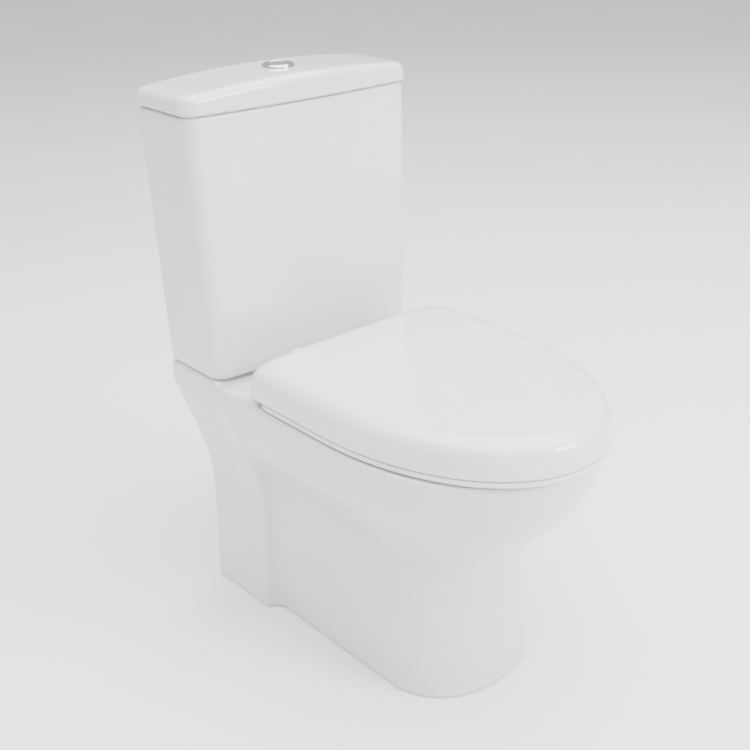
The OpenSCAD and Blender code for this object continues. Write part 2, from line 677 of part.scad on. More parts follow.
module hinge_pins() color("silver") in_frame() both_sides() rod_x_axis(pin_r, hinge_x - 24, hinge_x + 24, hinge_y, hinge_z);

module hinge_washers() color([0.12, 0.12, 0.13]) in_frame() both_sides() translate([hinge_x, hinge_y, 0])
    ring(12, 4.1, rim_z - deck_t - 3, rim_z - deck_t);

module hinge_wing_nuts() color(plastic) in_frame() both_sides() translate([hinge_x, hinge_y, 0])
    wing_nut(rim_z - deck_t - 3, 4, 15);

function seat_plan(inset, rear_y, c)
    = d_outline(seat_half_w - inset, seat_mid_y, seat_front_y + inset, rear_y - inset, c, 2.1, 6);

module seat_ring() color(plastic) in_frame() difference() {
    union() {
        difference() {
            loft([
                [ring_z, seat_plan(1.5, seat_ring_rear_y, 12)],
                [ring_z + 2, seat_plan(0.3, seat_ring_rear_y, 12)],
                [cover_z - 0.8, seat_plan(0.3, seat_ring_rear_y, 12)],
                [cover_z + 0.4, seat_plan(9, seat_ring_rear_y, 12)],
                [ring_top_z - 5, seat_plan(11, seat_ring_rear_y, 12)],
                [ring_top_z, seat_plan(20, seat_ring_rear_y, 12)]
            ]);
            difference() {
                translate([0, 0, ring_z - 1]) linear_extrude(ring_top_z - ring_z - 6) difference() {
                    polygon(seat_plan(17, seat_ring_rear_y, 10));
                    polygon(seat_hole(-6));
                }
                for (y = ring_rib_y) box([-300, y - 9, 0], [300, y + 9, 500]);
            }
        }
        both_sides() {
            rod_x_axis(6, hinge_x - 22.5, hinge_x - 8.5, hinge_y, hinge_z);
            box([hinge_x - 22.5, seat_ring_rear_y - 6, hinge_z - 6], [hinge_x - 8.5, hinge_y, hinge_z + 6]);
        }
    }
    translate([0, 0, ring_z - 5]) linear_extrude(60) polygon(seat_hole(0));
    both_sides() rod_x_axis(pin_r + pin_play, 40, 75, hinge_y, hinge_z);
}
function seat_hole(inset) = d_outline(112 - inset, -430, -566 + inset, -292 - inset, 85, 2.1, 6);

module ring_buffers() color([0.85, 0.86, 0.87]) in_frame() for (at = ring_buffer_at) both_sides()
    translate([at[0], at[1], 0]) intersection() {
        box([-16, -7, rim_z + 0.3], [16, 7, ring_z]);
        translate([0, 0, rim_z]) cylinder(r = 17, h = 20);
    }

// Rounded shell of the cover, inset by t all round.
module cover_solid(t) loft([
    [cover_z - (t > 0 ? 1 : 0), seat_plan(t + 1, seat_rear_y, 24 - t)],
    [cover_z + 3, seat_plan(t, seat_rear_y, 24 - t)],
    [cover_top_z - 24 - t, seat_plan(t, seat_rear_y, 24 - t)],
    [cover_top_z - 15 - t, seat_plan(t + 2, seat_rear_y, 26 - t)],
    [cover_top_z - 8.5 - t, seat_plan(t + 6, seat_rear_y, 28 - t)],
    [cover_top_z - 4 - t, seat_plan(t + 13, seat_rear_y, 30 - t)],
    [cover_top_z - 1.6 - t, seat_plan(t + 26, seat_rear_y, 32 - t)],
    [cover_top_z - 0.4 - t, seat_plan(t + 60, seat_rear_y, 32 - t)],
    [cover_top_z - t, seat_plan(t + 110, seat_rear_y, 32 - t)]
]);

module seat_cover() color(plastic) in_frame() difference() {
    union() {
        difference() {
            cover_solid(0);
            cover_solid(cover_t);
            both_sides() box([hinge_x - 26, hinge_y - 12, 380], [hinge_x + 26, seat_rear_y + 10, 424]);
        }
        both_sides() {
            rod_x_axis(6, hinge_x + 8.5, hinge_x + 22.5, hinge_y, hinge_z);
            box([hinge_x + 8.5, hinge_y - 6, hinge_z], [hinge_x + 22.5, hinge_y + 6, cover_top_z - 10]);
            for (at = cover_buffer_at) translate([at[0], at[1], cover_boss_z])
                cylinder(r = 9, h = cover_top_z - cover_t / 2 - 1 - cover_boss_z);
        }
    }
    both_sides() rod_x_axis(pin_r + pin_play, 80, 120, hinge_y, hinge_z);
}

module cover_buffers() color([0.85, 0.86, 0.87]) in_frame() for (at = cover_buffer_at) both_sides()
    translate([at[0], at[1], ring_top_z + 0.3]) cylinder(r = 7, h = cover_boss_z - ring_top_z - 0.3);

pan();
cistern();
coupling_seal();
coupling_bolts();
coupling_rubber_washers();
coupling_plate_washers();
coupling_wing_nuts();
flush_valve_base();
flush_valve_gasket();
flush_valve_backnut();
flush_valve_cage();
rocker_pins();
fill_valve_shank();
fill_valve_gasket();
fill_valve_backnut();
fill_valve_head();
float_arm_pin();
hinge_bolts();
hinge_plates();
hinge_posts();
hinge_pins();
hinge_washers();
hinge_wing_nuts();
seat_ring();
ring_buffers();
seat_cover();
cover_buffers();
cistern_lid();
button_housing();
button_gasket();
button_nut();
full_button_spring();
half_button_spring();
full_flush_button();
full_flush_rod();
half_flush_button();
half_flush_rod();
overflow_tube();
valve_seal();
seal_clip();
flush_float();
lift_yoke();
half_flush_float();
full_flush_rocker();
half_flush_rocker();
fill_float();
fill_float_rod();
float_arm();
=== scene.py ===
"""Looks of the close coupled toilet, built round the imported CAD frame.

China and seat are modelled as distance fields in millimetres (wall plane at y = 0, floor at z = 0),
so that every edge and every inner corner is a true rounding, and then turned into closed meshes.
"""
import json
import math

import bpy
import numpy as np
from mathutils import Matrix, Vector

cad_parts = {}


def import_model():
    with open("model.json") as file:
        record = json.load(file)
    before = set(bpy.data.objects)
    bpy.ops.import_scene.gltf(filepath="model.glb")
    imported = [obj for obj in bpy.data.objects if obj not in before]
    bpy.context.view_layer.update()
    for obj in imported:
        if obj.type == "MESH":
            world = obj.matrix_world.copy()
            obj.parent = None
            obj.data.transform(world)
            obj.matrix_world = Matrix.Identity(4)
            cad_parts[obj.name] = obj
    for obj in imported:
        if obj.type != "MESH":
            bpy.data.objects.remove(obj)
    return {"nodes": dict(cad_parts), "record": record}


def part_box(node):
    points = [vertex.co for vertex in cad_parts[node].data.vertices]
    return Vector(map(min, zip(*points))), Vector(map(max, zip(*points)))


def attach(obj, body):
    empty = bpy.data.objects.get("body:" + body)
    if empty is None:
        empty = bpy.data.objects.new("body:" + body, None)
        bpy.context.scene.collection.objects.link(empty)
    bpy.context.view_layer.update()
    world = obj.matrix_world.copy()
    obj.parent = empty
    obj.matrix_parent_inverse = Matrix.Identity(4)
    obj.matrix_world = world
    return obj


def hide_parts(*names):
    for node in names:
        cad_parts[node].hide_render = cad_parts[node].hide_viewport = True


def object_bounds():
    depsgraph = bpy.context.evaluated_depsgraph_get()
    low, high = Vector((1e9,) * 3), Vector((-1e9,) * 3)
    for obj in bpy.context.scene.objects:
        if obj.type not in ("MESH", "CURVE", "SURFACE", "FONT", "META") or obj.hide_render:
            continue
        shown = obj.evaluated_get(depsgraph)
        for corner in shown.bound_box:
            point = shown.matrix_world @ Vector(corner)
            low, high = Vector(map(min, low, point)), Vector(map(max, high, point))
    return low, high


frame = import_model()
CAD_BOX = [list(corner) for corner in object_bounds()]
MM = 0.001
WALL_Y = CAD_BOX[1][1]

# ---- Sizes, in millimetres from the wall and the floor ----

DECK_Z = 1000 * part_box("cistern")[0][2]
RIM_Z = 1000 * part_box("hinge_plates")[0][2]
RIM_HALF_W = 184.0
RIM_MID_Y = -370.0
RIM_FRONT_Y = -631.0
BOWL_DROP = 193.0
FOOT_MID_Y = -390.0
TANK_TOP_Z = 1000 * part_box("cistern")[1][2]
LID_Z = 771.0
LID_CROWN_Z = 806.0
LID_HALF_W = 190.0
LID_ARCH = 11.0
BOW = 10.0
RING_Z = 1000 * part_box("seat_ring")[0][2]
RING_TOP_Z = 1000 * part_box("seat_ring")[1][2]
COVER_Z = 1000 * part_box("seat_cover")[0][2]
COVER_TOP_Z = 1000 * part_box("seat_cover")[1][2]
SEAT_HALF_W = 1000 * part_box("seat_cover")[1][0]
SEAT_FRONT_Y = 1000 * (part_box("seat_cover")[0][1] - WALL_Y)
SEAT_MID_Y = -358.0
RING_REAR_Y, COVER_REAR_Y = -218.0, -182.0
INLET_Y = -63.0
COUPLING_X, FILL_X = 80.0, 130.0
HINGE_X, HINGE_Y, HINGE_Z = 77.5, -195.0, 410.0
LUG_R, PIN_HOLE_R = 6.0, 3.06
OUTLET_Z = 180.0
FLOOR_HOLE = (98.0, -100.0)
WALL_HOLE = (120.0, 722.0)
COVER_BUFFERS = ((140, -314), (117, -520))
RING_RIBS_Y = (-300, -400, -500)

# ---- Field helpers: negative inside, millimetres ----


def smooth_max(a, b, k):
    """Intersection whose edge is rounded; k is about 1.7 times the radius."""
    h = np.maximum(k - np.abs(a - b), 0) / k
    return np.maximum(a, b) + h * h * k / 4


def smooth_min(a, b, k):
    """Union whose inner corner is filled by a fillet."""
    return -smooth_max(-a, -b, k)


def cut(a, b, k=2.0):
    """a without b, with a rounded edge."""
    return smooth_max(a, -b, k)


def ramp(t):
    """Smooth step from 0 to 1."""
    t = np.clip(t, 0, 1)
    return t * t * (3 - 2 * t)


def super_round(x, y, half_w, length, power):
    """Side and front of a D: straight where y <= 0, a superellipse of the given length where y > 0."""
    y = np.maximum(y, 0)
    s = (np.abs(x / half_w) ** power + (y / length) ** power) ** (1 / power)
    return np.where(s > 1e-3, np.hypot(x, y) * (1 - 1 / np.maximum(s, 1e-3)), -half_w)


def slab(v, low, high):
    """Layer between two levels."""
    return np.maximum(low - v, v - high)


def block(x, y, z, low, high, k=4.0):
    """Box with rounded edges."""
    side = smooth_max(slab(x, low[0], high[0]), slab(y, low[1], high[1]), k)
    return smooth_max(side, slab(z, low[2], high[2]), k)


def upright(x, y, at_x, at_y, r):
    """Endless upright cylinder."""
    return np.hypot(x - at_x, y - at_y) - r


def curve(points, steps):
    """Points of a cubic curve."""
    p = np.array(points, float)
    t = np.linspace(0, 1, steps + 1)[:, None]
    return (1 - t) ** 3 * p[0] + 3 * t * (1 - t) ** 2 * p[1] + 3 * t * t * (1 - t) * p[2] + t ** 3 * p[3]


def polygon_field(u, v, points):
    """Signed distance to a closed outline in the plane."""
    best = np.full(np.broadcast(u, v).shape, 1e9, np.float32)
    inside = np.zeros(best.shape, bool)
    for (au, av), (bu, bv) in zip(points, np.roll(points, -1, axis=0)):
        du, dv = bu - au, bv - av
        t = np.clip(((u - au) * du + (v - av) * dv) / (du * du + dv * dv), 0, 1)
        best = np.minimum(best, np.hypot(u - au - t * du, v - av - t * dv))
        if dv:
            crosses = ((av > v) != (bv > v)) & (u < (v - av) * du / dv + au)
            inside ^= crosses
    return np.where(inside, -best, best)


def path_field(x, y, z, path, r):
    """Distance to a round passage along a path of (y, z) points in the middle plane."""
    best = np.full(np.broadcast(y, z).shape, 1e9, np.float32)
    for (ay, az), (by, bz) in zip(path[:-1], path[1:]):
        dy, dz = by - ay, bz - az
        t = np.clip(((y - ay) * dy + (z - az) * dz) / (dy * dy + dz * dz), 0, 1)
        best = np.minimum(best, np.hypot(y - ay - t * dy, z - az - t * dz))
    return np.hypot(x, best) - r


# ---- Field to mesh ----

CORNERS = [(i, j, k) for i in (0, 1) for j in (0, 1) for k in (0, 1)]
EDGES = [(a, b) for n, a in enumerate(CORNERS) for b in CORNERS[n + 1:]
         if sum(p != q for p, q in zip(a, b)) == 1]


def net(f, low, step):
    """Closed quad mesh of the zero level of a sampled field: one point a cell, one quad a crossed edge."""
    inside = f < 0
    count = np.zeros(tuple(n - 1 for n in f.shape), np.int8)
    for i, j, k in CORNERS:
        count += inside[i:i + count.shape[0], j:j + count.shape[1], k:k + count.shape[2]]
    cells = np.argwhere((count > 0) & (count < 8))
    index = np.full(count.shape, -1, np.int64)
    index[tuple(cells.T)] = np.arange(len(cells))
    total = np.zeros((len(cells), 3))
    hits = np.zeros(len(cells))
    for a, b in EDGES:
        fa = f[tuple((cells + a).T)]
        fb = f[tuple((cells + b).T)]
        crossed = (fa < 0) != (fb < 0)
        t = np.where(crossed, fa / np.where(crossed, fa - fb, 1), 0)
        point = np.array(a) + t[:, None] * (np.array(b) - np.array(a))
        total[crossed] += point[crossed]
        hits += crossed
    verts = low + step * (cells + total / hits[:, None])
    faces = []
    for axis in range(3):
        u, v = (axis + 1) % 3, (axis + 2) % 3
        ahead = np.take(inside, range(1, f.shape[axis]), axis)
        here = np.take(inside, range(f.shape[axis] - 1), axis)
        at = np.argwhere(ahead != here)
        at = at[(at[:, u] > 0) & (at[:, v] > 0)]
        ring = []
        for du, dv in ((1, 1), (0, 1), (0, 0), (1, 0)):
            cell = at.copy()
            cell[:, u] -= du
            cell[:, v] -= dv
            ring.append(index[tuple(cell.T)])
        quad = np.stack(ring, 1)
        outward = here[tuple(at.T)]
        quad[~outward] = quad[~outward][:, ::-1]
        faces.append(quad)
    return verts, np.concatenate(faces)


def settle(field, verts, rounds=3):
    """Moves points on to the zero level along the field's slope."""
    eps = 0.25
    for _ in range(rounds):
        x, y, z = verts.T
        f = field(x, y, z)
        g = np.stack([
            (field(x + eps, y, z) - field(x - eps, y, z)),
            (field(x, y + eps, z) - field(x, y - eps, z)),
            (field(x, y, z + eps) - field(x, y, z - eps)),
        ], 1) / (2 * eps)
        size = np.maximum((g * g).sum(1), 0.25)
        verts = verts - np.clip(f / size, -2, 2)[:, None] * g
    return verts


def relax(verts, faces, amount):
    """Evens out the spacing of the points before they settle."""
    total = np.zeros_like(verts)
    count = np.zeros(len(verts))
    for k in range(4):
        a, b = faces[:, k], faces[:, (k + 1) % 4]
        np.add.at(total, a, verts[b])
        np.add.at(total, b, verts[a])
        np.add.at(count, a, 1)
        np.add.at(count, b, 1)
    return verts + amount * (total / count[:, None] - verts)


def new_object(name, verts, faces, material):
    """Mesh object from points in wall millimetres, shaded smooth."""
    mesh = bpy.data.meshes.new(name)
    points = np.asarray(verts, np.float64) * MM
    points[:, 1] += WALL_Y
    faces = np.asarray(faces, np.int32)
    mesh.vertices.add(len(points))
    mesh.vertices.foreach_set("co", points.ravel())
    mesh.loops.add(faces.size)
    mesh.loops.foreach_set("vertex_index", faces.ravel())
    mesh.polygons.add(len(faces))
    mesh.polygons.foreach_set("loop_start", np.arange(0, faces.size, faces.shape[1], dtype=np.int32))
    mesh.polygons.foreach_set("use_smooth", np.ones(len(faces), bool))
    mesh.update(calc_edges=True)
    mesh.validate()
    mesh.materials.append(material)
    obj = bpy.data.objects.new(name, mesh)
    bpy.context.scene.collection.objects.link(obj)
    return obj


def from_field(name, field, low, high, step, material, mirror=True):
    """Object of a field's zero level; a mirrored one is sampled on its right half only."""
    low, high = np.array(low, float), np.array(high, float)
    count = np.ceil((high - low) / step).astype(int) + 1
    if mirror:
        half = int(math.ceil(high[0] / step))
        xs = np.arange(half + 1) * step
    else:
        xs = low[0] + np.arange(count[0]) * step
    ys = low[1] + np.arange(count[1]) * step
    zs = low[2] + np.arange(count[2]) * step
    f = field(xs[:, None, None].astype(np.float32), ys[None, :, None].astype(np.float32),
              zs[None, None, :].astype(np.float32))
    f = np.broadcast_to(f, (len(xs), len(ys), len(zs)))
    if mirror:
        f = np.concatenate([f[:0:-1], f])
    start = np.array([-xs[-1] if mirror else xs[0], ys[0], zs[0]])
    verts, faces = net(f, start, step)
    verts = settle(field, verts, 1)
    verts = settle(field, relax(verts, faces, 0.5), 3)
    return new_object(name, verts, faces, material)


# ---- Materials ----


def shader(name, color, rough, **inputs):
    """Principled material with its plain values set; returns it with its node tree and shader."""
    mat = bpy.data.materials.new(name)
    mat.use_nodes = True
    tree = mat.node_tree
    bsdf = tree.nodes["Principled BSDF"]
    bsdf.inputs["Base Color"].default_value = (*color, 1)
    bsdf.inputs["Roughness"].default_value = rough
    for key, value in inputs.items():
        bsdf.inputs[key.replace("_", " ")].default_value = value
    return mat, tree, bsdf


def noise(tree, scale, detail, stretch=(1, 1, 1), rough=0.5):
    """Noise in the object's own metres."""
    where = tree.nodes.new("ShaderNodeTexCoord")
    shape = tree.nodes.new("ShaderNodeMapping")
    shape.inputs["Scale"].default_value = stretch
    tex = tree.nodes.new("ShaderNodeTexNoise")
    tex.inputs["Scale"].default_value = scale
    tex.inputs["Detail"].default_value = detail
    tex.inputs["Roughness"].default_value = rough
    tree.links.new(where.outputs["Object"], shape.inputs["Vector"])
    tree.links.new(shape.outputs["Vector"], tex.inputs["Vector"])
    return tex.outputs["Fac"]


def spread(tree, value, low, high, start=0.3, end=0.7):
    """Maps a texture to a narrow range of numbers."""
    node = tree.nodes.new("ShaderNodeMapRange")
    node.inputs["From Min"].default_value = start
    node.inputs["From Max"].default_value = end
    node.inputs["To Min"].default_value = low
    node.inputs["To Max"].default_value = high
    tree.links.new(value, node.inputs["Value"])
    return node.outputs["Result"]


def tint(tree, value, dark, light, start=0.35, end=0.65):
    """Colour that drifts between two close tones."""
    node = tree.nodes.new("ShaderNodeValToRGB")
    node.color_ramp.elements[0].position = start
    node.color_ramp.elements[0].color = (*dark, 1)
    node.color_ramp.elements[1].position = end
    node.color_ramp.elements[1].color = (*light, 1)
    tree.links.new(value, node.inputs["Fac"])
    return node.outputs["Color"]


def bump(tree, bsdf, height, strength, distance):
    node = tree.nodes.new("ShaderNodeBump")
    node.inputs["Strength"].default_value = strength
    node.inputs["Distance"].default_value = distance
    tree.links.new(height, node.inputs["Height"])
    tree.links.new(node.outputs["Normal"], bsdf.inputs["Normal"])


def china_material():
    """Fired white glaze: a clear coat over a faintly uneven body."""
    mat, tree, bsdf = shader("glazed_china", (0.7, 0.705, 0.71), 0.2, IOR=1.5, Coat_Weight=0.6,
                             Coat_Roughness=0.04, Coat_IOR=1.5)
    drift = noise(tree, 9, 3)
    tree.links.new(tint(tree, drift, (0.69, 0.695, 0.7), (0.715, 0.72, 0.725)), bsdf.inputs["Base Color"])
    tree.links.new(spread(tree, noise(tree, 60, 4), 0.14, 0.24), bsdf.inputs["Roughness"])
    bump(tree, bsdf, noise(tree, 45, 2), 0.06, 0.0006)
    return mat


def seat_material():
    """Hard pressed white plastic with a polished skin."""
    mat, tree, bsdf = shader("seat_plastic", (0.78, 0.78, 0.778), 0.16, IOR=1.48, Coat_Weight=0.35,
                             Coat_Roughness=0.06, Coat_IOR=1.5)
    tree.links.new(tint(tree, noise(tree, 14, 4), (0.77, 0.77, 0.768), (0.79, 0.79, 0.787)),
                   bsdf.inputs["Base Color"])
    tree.links.new(spread(tree, noise(tree, 220, 5), 0.12, 0.2), bsdf.inputs["Roughness"])
    bump(tree, bsdf, noise(tree, 160, 3), 0.05, 0.0003)
    return mat


def metal_material(name, dark, light, rough, scale, stretch, depth):
    """Bare or plated metal with fine marks."""
    mat, tree, bsdf = shader(name, light, rough, Metallic=1.0)
    marks = noise(tree, scale, 5, stretch)
    tree.links.new(tint(tree, marks, dark, light), bsdf.inputs["Base Color"])
    tree.links.new(spread(tree, marks, rough * 0.7, rough * 1.5), bsdf.inputs["Roughness"])
    bump(tree, bsdf, marks, 0.08, depth)
    return mat


def moulded_material(name, dark, light, rough, scale=400, depth=0.0002, strength=0.15):
    """Moulded plastic or rubber with a fine grain."""
    mat, tree, bsdf = shader(name, light, rough, IOR=1.47)
    tree.links.new(tint(tree, noise(tree, 25, 4), dark, light), bsdf.inputs["Base Color"])
    grain = noise(tree, scale, 4)
    tree.links.new(spread(tree, grain, rough * 0.85, min(1, rough * 1.2)), bsdf.inputs["Roughness"])
    bump(tree, bsdf, grain, strength, depth)
    return mat


CHINA = china_material()
SEAT = seat_material()
CHROME = metal_material("polished_chrome", (0.66, 0.67, 0.69), (0.74, 0.75, 0.77), 0.07, 90, (1, 1, 1),
                        0.0001)
ZINC = metal_material("zinc_plated_steel", (0.5, 0.5, 0.5), (0.64, 0.64, 0.62), 0.34, 300, (1, 1, 6), 0.0002)
WHITE = moulded_material("white_moulding", (0.74, 0.745, 0.74), (0.79, 0.795, 0.79), 0.38)
GREY = moulded_material("grey_moulding", (0.36, 0.38, 0.41), (0.42, 0.44, 0.47), 0.42)
BLUE = moulded_material("blue_moulding", (0.07, 0.16, 0.4), (0.1, 0.2, 0.46), 0.4)
RUBBER = moulded_material("black_rubber", (0.018, 0.018, 0.02), (0.035, 0.035, 0.037), 0.62, 700, 0.0003, 0.3)
BUFFER = moulded_material("clear_grey_rubber", (0.5, 0.51, 0.52), (0.58, 0.59, 0.6), 0.5, 700, 0.0002, 0.2)

# ---- Pan ----

CHINA_T, DECK_T, RIM_T = 10.0, 12.0, 14.0
BOWL_REAR_Y, FOOT_REAR_Y = -128.0, -120.0
FOOT_TOP_Z, FOOT_HALF_W, FOOT_FRONT = 262.0, 114.5, 490.0
STEP_Y, STEP_RUN, STEP_UP = -124.0, 17.0, 6.0
WEB_Y, WING_WEB_Y = -165.0, -122.0
POCKET_Y, POCKET_Z = -215.0, 292.0
# Recess behind the foot, then its two upper pockets: half width, front, rear, floor
RECESS_BOXES = ((104, WEB_Y, 60, -50), (125, POCKET_Y, -110, POCKET_Z), (145, POCKET_Y, -110, 325))
CAVITY_TOP_Z = 366.0
OPENING_HALF_W = 120.0
WELL_R, WELL_Z, FLUSH_HOLE_R = 45.3, 370.0, 28.0
SPIGOT = (-150.0, -100.0, 51.0, 42.0)  # root, free end, outer and inner radius
TRAP_R, TRAP_T, BEND_R = 38.0, 8.0, 54.0


def skirt_front(inset=0.0):
    """Front view of the rear skirt's right half: a narrow foot that widens into the platform."""
    side = np.concatenate([
        [[135.5, -60], [135.5, 0], [131.5, 100]],
        curve([[129.5, 180], [129, 232], [158, 300], [178, 362]], 12),
        [[178.5, 380], [178.5, 440]],
    ]) - (inset, 0)
    return np.concatenate([side, [[-50, 440], [-50, -60]]])


def skirt_side():
    """Side view: platform, its step down to the rim, and the wing's front edge."""
    return np.concatenate([
        [[30, -60], [30, DECK_Z], [-106, DECK_Z]],
        curve([[-107, DECK_Z], [-115, DECK_Z], [-114, RIM_Z], [-124, RIM_Z]], 8),
        curve([[-165, RIM_Z], [-143, 335], [-135, 290], [-134, 232]], 12),
        [[-134, -60]],
    ])


def trap_path():
    """Centre line of the trapway: dip, rise, weir and fall to the outlet, as three bends."""
    rise, fall = math.radians(72), math.radians(40)
    dip = np.array([-332, 78 + BEND_R])
    weir_z, out_z = 210 - BEND_R, OUTLET_Z + BEND_R
    climb = (weir_z - dip[1] + 2 * BEND_R * math.cos(rise)) / math.sin(rise)
    weir = np.array([dip[0] + 2 * BEND_R * math.sin(rise) + climb * math.cos(rise), weir_z])
    slope = (weir_z - out_z + 2 * BEND_R * math.cos(fall)) / math.sin(fall)
    out = np.array([weir[0] + 2 * BEND_R * math.sin(fall) + slope * math.cos(fall), out_z])

    def bend(centre, start, end, side, steps):
        a = np.linspace(start, end, steps + 1)[:, None]
        return centre + side * BEND_R * np.hstack([np.sin(a), -np.cos(a)])

    return np.concatenate([[[-356, 78]], bend(dip, 0, rise, 1, 5), bend(weir, rise, -fall, -1, 8),
                           bend(out, -fall, 0, 1, 4)])


SKIRT_FRONT, SKIRT_RECESS, SKIRT_SIDE = skirt_front(), skirt_front(CHINA_T), skirt_side()
TRAP = trap_path()
# Bowl cavity: height, half width, front and rear of its section
CAVITY = np.array([
    [30, 6, -360, -338], [42, 20, -372, -325], [60, 35, -386, -303], [90, 45, -396, -290],
    [130, 54, -412, -281], [172, 66, -440, -273], [205, 82, -470, -265], [240, 97, -498, -256],
    [285, 126, -549, -248], [330, 141, -575, -243], [366, 147, -584, -240], [400, 147, -584, -240],
])


def bowl_field(x, y, z, t=0.0):
    """Outer shape of the bowl, inset by t."""
    narrow = 1 - 0.03 * ramp((y + 290) / 160)
    half = RIM_HALF_W * narrow - t
    length = RIM_MID_Y - RIM_FRONT_Y - t
    drop = BOWL_DROP - t
    fwd = np.maximum(RIM_MID_Y - y, 0)
    down = np.maximum(RIM_Z - z, 0)
    flat = (np.abs(x / half) ** 2.1 + (fwd / length) ** 2.1) ** (1 / 2.1)
    s = np.sqrt(flat ** 2 + (down / drop) ** 2)
    r = np.sqrt(x * x + fwd * fwd + down * down)
    return np.where(s > 1e-3, r * (1 - 1 / np.maximum(s, 1e-3)), -half)


def foot_field(x, y, z, t=0.0):
    """The foot, inset by t: a D that flares a little towards the floor."""
    flare = ramp((190 - z) / 200)
    half = FOOT_HALF_W + 1.5 * flare - t
    front = FOOT_FRONT + 13 * flare ** 1.3 - t
    return super_round(x, FOOT_MID_Y - y, half, front + FOOT_MID_Y, 2.28)


def cavity_field(x, y, z):
    """Inside of the bowl, down to the trap."""
    zs = np.clip(z, CAVITY[0, 0], CAVITY[-1, 0])
    half, front, rear = (np.interp(zs, CAVITY[:, 0], CAVITY[:, k]) for k in (1, 2, 3))
    mid, length = (front + rear) / 2, (rear - front) / 2
    s = (np.abs(x / half) ** 2.15 + np.abs((y - mid) / length) ** 2.15) ** (1 / 2.15)
    r = np.hypot(x, y - mid)
    side = np.where(s > 1e-3, r * (1 - 1 / np.maximum(s, 1e-3)), -half) * 0.85
    return smooth_max(side, 42 - z, 30)


def opening_field(x, y):
    """Plan of the rim's opening."""
    side = super_round(x, -425 - y, OPENING_HALF_W, 151, 2.1)
    corner = super_round(x, y + 353, OPENING_HALF_W, 95, 2.1)
    return np.maximum(side, corner)


def pan_outside(x, y, z):
    """Bowl, foot and rear skirt run together, with the platform's step on top."""
    bowl = smooth_max(bowl_field(x, y, z), y - BOWL_REAR_Y, 20)
    foot = smooth_max(foot_field(x, y, z), z - FOOT_TOP_Z, 4)
    foot = np.maximum(foot, y - FOOT_REAR_Y)
    skirt = smooth_max(polygon_field(y, z, SKIRT_SIDE), polygon_field(np.abs(x), z, SKIRT_FRONT), 9)
    skirt = smooth_max(skirt, y, 3)
    outer = smooth_min(smooth_min(bowl, foot, 24), skirt, 20)
    outer = smooth_max(outer, z - RIM_Z - STEP_UP * ramp((y - STEP_Y) / STEP_RUN), 7)
    return smooth_max(outer, -z, 3)


def pan_hollow(x, y, z):
    """Inside of the bowl's and the foot's outer walls, clear of the rear recess."""
    inner = np.minimum(np.maximum(bowl_field(x, y, z, CHINA_T), z - RIM_Z + RIM_T),
                       np.maximum(foot_field(x, y, z, CHINA_T), z - FOOT_TOP_Z))
    inner = np.maximum(inner, y - (WEB_Y - CHINA_T))
    return cut(inner, np.maximum(POCKET_Y - CHINA_T - y, POCKET_Z - CHINA_T - z), 6)


def pan_recess(x, y, z):
    """Open recess at the back, with the pocket for the seat's nuts."""
    ax = np.abs(x)
    recess = smooth_max(slab(y, WING_WEB_Y, 60), z - DECK_Z + DECK_T, 10)
    recess = smooth_max(polygon_field(ax, z, SKIRT_RECESS), recess, 10)
    for half_w, front, rear, floor_z in RECESS_BOXES:
        low, high = (-50, front, floor_z), (half_w, rear, RIM_Z - RIM_T)
        recess = smooth_min(recess, block(ax, y, z, low, high, 12), 6)
    return recess


def pan_inner_walls(x, y, z):
    """Seal socket, flush duct, floor lugs, wall of the bowl, and trapway with its spigot."""
    ax = np.abs(x)
    well = np.maximum(upright(x, y, 0, INLET_Y, WELL_R + CHINA_T), slab(z, WELL_Z - 8, DECK_Z - 8))
    duct = block(ax, y, z, (-50, -240, 322), (38, -95, 366), 10)
    lugs = np.maximum(block(ax, y, z, (76, -125, -20), (128, -78, 24), 6), -z)
    bowl_wall = np.maximum(cavity_field(x, y, z) - CHINA_T, z - RIM_Z + 3)
    trap = path_field(x, y, z, TRAP, TRAP_R + TRAP_T)
    spigot = np.maximum(np.hypot(x, z - OUTLET_Z) - SPIGOT[2], slab(y, SPIGOT[0], SPIGOT[1]))
    return well, duct, lugs, bowl_wall, smooth_min(trap, spigot, 6)


def pan_waterway(x, y, z):
    """Spaces the water runs through, each with the rounding of its edge."""
    return (
        (np.maximum(cavity_field(x, y, z), z - (CAVITY_TOP_Z + 4)), 3),
        (np.maximum(opening_field(x, y), CAVITY_TOP_Z - z), 13),
        (path_field(x, y, z, TRAP, TRAP_R), 3),
        (np.maximum(np.hypot(x, z - OUTLET_Z) - SPIGOT[3], slab(y, SPIGOT[0] + 6, 0)), 3),
        (block(np.abs(x), y, z, (-50, -262, 332), (30, -85, 354), 6), 4),
        (np.maximum(upright(x, y, 0, INLET_Y, FLUSH_HOLE_R), slab(z, 334, 420)), 3),
        (np.maximum(upright(x, y, 0, INLET_Y, WELL_R), WELL_Z - z), 4),
    )


def pan_field(x, y, z):
    """Whole pan: a shell, the walls inside it, the waterway and the bolt holes."""
    shell = cut(cut(pan_outside(x, y, z), pan_hollow(x, y, z), 6), pan_recess(x, y, z), 7)
    for wall in pan_inner_walls(x, y, z):
        shell = smooth_min(shell, wall, 8)
    for space, rounding in pan_waterway(x, y, z):
        shell = cut(shell, space, rounding)
    for at_x, at_y, r, low, high in ((COUPLING_X, INLET_Y, 5.5, 350, 420), (FILL_X, INLET_Y, 20, 350, 420),
                                     (HINGE_X, HINGE_Y, 6, 350, 420), (*FLOOR_HOLE, 4.5, -9, 40)):
        shell = cut(shell, np.maximum(upright(np.abs(x), y, at_x, at_y, r), slab(z, low, high)), 2)
    return smooth_max(shell, -z, 2)


# ---- Cistern and lid ----


